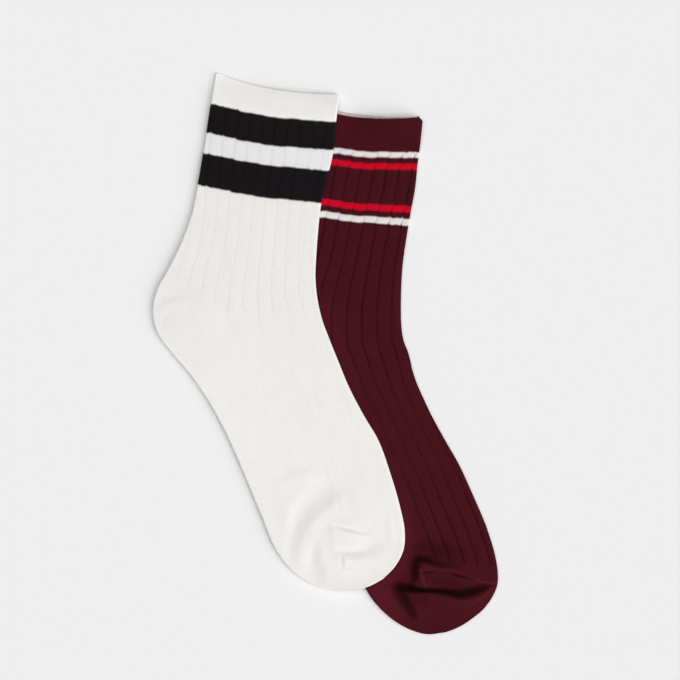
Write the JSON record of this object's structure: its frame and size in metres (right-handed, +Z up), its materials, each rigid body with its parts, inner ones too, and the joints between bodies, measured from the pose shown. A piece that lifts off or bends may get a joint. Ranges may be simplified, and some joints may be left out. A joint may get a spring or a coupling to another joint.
{
  "type": "pair of crew socks",
  "caption": "Knitted crew socks laid flat, a white one overlapping a maroon one, each with banded ribbed leg, turned welt cuff, open mouth, shaped heel and closed toe.",
  "frame": {"origin": "middle of the pair's outline seen from above, on the surface that the socks lie on", "axes": "+X from the heel side to the instep side, +Y towards the cuffs, +Z up off the surface"},
  "size_m": [0.2176, 0.353, 0.0084],
  "materials": {
    "white_knit": "matte cotton rib knit, off-white with two black bands round the leg",
    "maroon_knit": "matte cotton rib knit, maroon with thin white and red bands round the leg"
  },
  "bodies": {
    "root": {"white_sock": "white_knit", "maroon_sock": "maroon_knit"}
  },
  "joints": []
}
